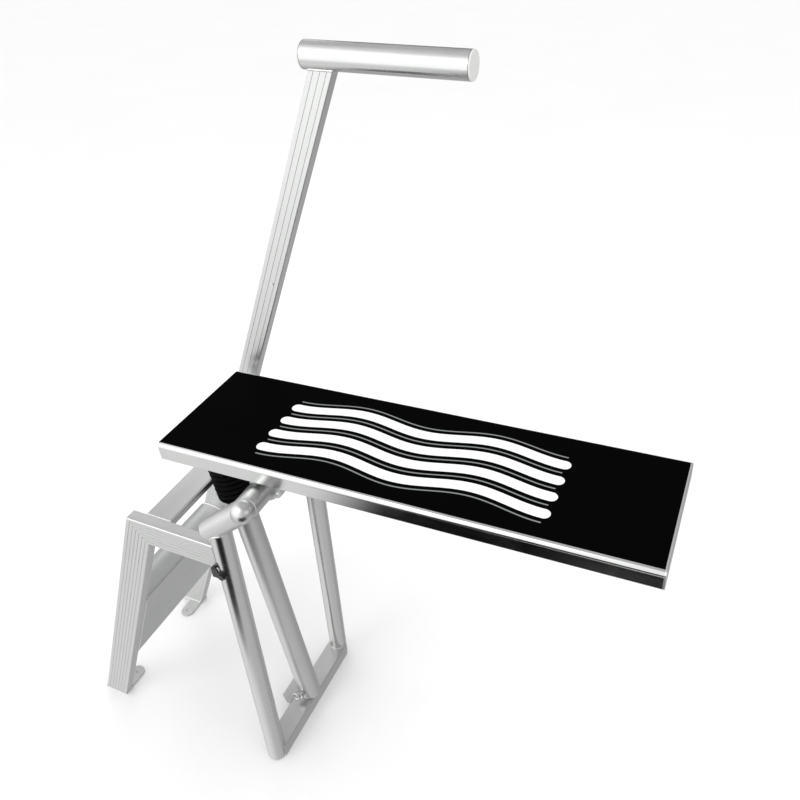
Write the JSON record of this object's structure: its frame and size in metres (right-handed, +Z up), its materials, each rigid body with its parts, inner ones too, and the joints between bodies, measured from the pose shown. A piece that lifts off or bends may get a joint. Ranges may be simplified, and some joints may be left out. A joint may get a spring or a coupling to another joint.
{
  "type": "diving board",
  "caption": "Portable dock diving board: rigid non-skid plank rocking on a bent cross tube over a coil spring, with a folding front frame, step stand and telescoping T-handle.",
  "frame": {"origin": "centre of the footprint box on the ground plane", "axes": "+X from the rear stand towards the plank's tip, +Y towards the side with the T-handle, +Z up"},
  "size_m": [1.5263, 0.4552, 1.8161],
  "materials": {
    "alu_satin": "satin anodised extrusion",
    "alu_tube": "satin anodised round tube",
    "alu_plate": "mill finish plate and sheet",
    "cast_grey": "as-cast light grey",
    "zinc_steel": "bright plated fasteners",
    "stainless": "stainless pin and ring",
    "black_steel": "black powder coat",
    "black_grip": "non-skid grit sheet",
    "white_core": "plank core",
    "grey_cap": "moulded end caps and plugs",
    "nylon": "nylon post guides"
  },
  "bodies": {
    "rear_stand": {"near_rear_leg": "alu_satin", "far_rear_leg": "alu_satin", "near_top_rail": "alu_satin", "far_top_rail": "alu_satin", "near_foot_plate": "alu_plate", "far_foot_plate": "alu_plate", "top_plank": "alu_satin", "lower_step": "alu_plate", "post_guides": "nylon", "hinge_straps": "black_steel", "hinge_bolts": "black_steel", "hinge_nuts": "zinc_steel"},
    "front_frame": {"near_front_leg": "alu_tube", "far_front_leg": "alu_tube", "near_fulcrum_arm": "alu_tube", "far_fulcrum_arm": "alu_tube", "fulcrum_tube": "alu_tube", "arm_end_plugs": "grey_cap", "fulcrum_screws": "zinc_steel", "front_crossbar": "alu_satin", "strut_bracket": "alu_plate", "strut_lug": "alu_plate", "center_strut": "alu_tube", "lower_spring_seat": "black_steel", "coil_spring": "black_steel"},
    "board": {"board_core": "white_core", "near_side_rail": "alu_satin", "far_side_rail": "alu_satin", "grip_surface": "black_grip", "rear_end_trim": "alu_plate", "tip_end_trim": "alu_plate", "near_pivot_clamp": "cast_grey", "far_pivot_clamp": "cast_grey", "clamp_bolts": "zinc_steel", "upper_spring_seat": "black_steel"},
    "release_pin": {"release_pin": "stainless", "pin_ring": "stainless"},
    "handle": {"handle_post": "alu_satin", "handle_bar": "alu_tube", "rear_bar_cap": "grey_cap", "front_bar_cap": "grey_cap"},
    "snap_button": {"snap_button": "stainless"}
  },
  "joints": [
    {"name": "frame_fold", "type": "hinge", "parent": "rear_stand", "child": "front_frame", "pos_m": [-0.15415, 0, 0.772], "axis": [0, 1, 0], "range_deg": [0, 25]},
    {"name": "board_tilt", "type": "hinge", "parent": "front_frame", "child": "board", "pos_m": [-0.06015, 0, 0.997], "axis": [0, 1, 0], "range_deg": [-3, 10], "stiffness_Nm_per_rad": 4500, "deforming": ["coil_spring"]},
    {"name": "pin_pull", "type": "slide", "parent": "front_frame", "child": "release_pin", "axis": [0, -1, 0], "range_m": [0, 0.078]},
    {"name": "handle_slide", "type": "slide", "parent": "rear_stand", "child": "handle", "axis": [-0.3809, 0, -0.9246], "range_m": [0, 0.35]},
    {"name": "button_press", "type": "slide", "parent": "handle", "child": "snap_button", "axis": [0, 1, 0], "range_m": [0, 0.005], "stiffness_N_per_m": 600}
  ]
}
